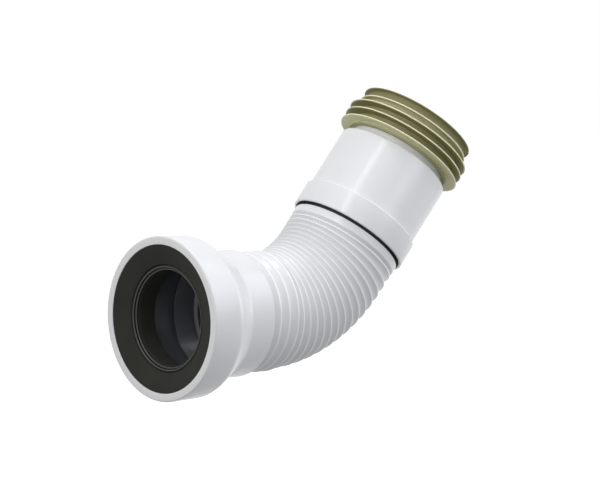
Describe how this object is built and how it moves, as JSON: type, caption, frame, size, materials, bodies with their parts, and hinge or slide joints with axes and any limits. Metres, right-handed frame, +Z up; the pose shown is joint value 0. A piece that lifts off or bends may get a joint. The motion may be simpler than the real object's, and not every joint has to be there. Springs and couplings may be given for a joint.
{
  "type": "toilet pan connector",
  "caption": "Flexible toilet pan connector: a rubber-lined socket for the pan's outlet, a corrugated hose bent upwards and a sleeve whose finned seal pushes into a soil pipe.",
  "frame": {"origin": "on the inlet axis, where the inlet seal's bore begins", "axes": "+X runs from the inlet into the hose, +Z is up in the plane of the bend, +Y completes a right-handed frame"},
  "size_m": [0.3107, 0.136, 0.2508],
  "materials": {
    "white_plastic": "white polypropylene, satin gloss",
    "black_rubber": "black moulded rubber, satin",
    "olive_elastomer": "olive elastomer, matt, paler at the fins' rims"
  },
  "bodies": {
    "root": {"inlet_socket": "white_plastic", "inlet_seal": "black_rubber", "flexible_hose": "white_plastic", "outlet_sleeve": "white_plastic", "outlet_fin_seal": "olive_elastomer"}
  },
  "joints": []
}
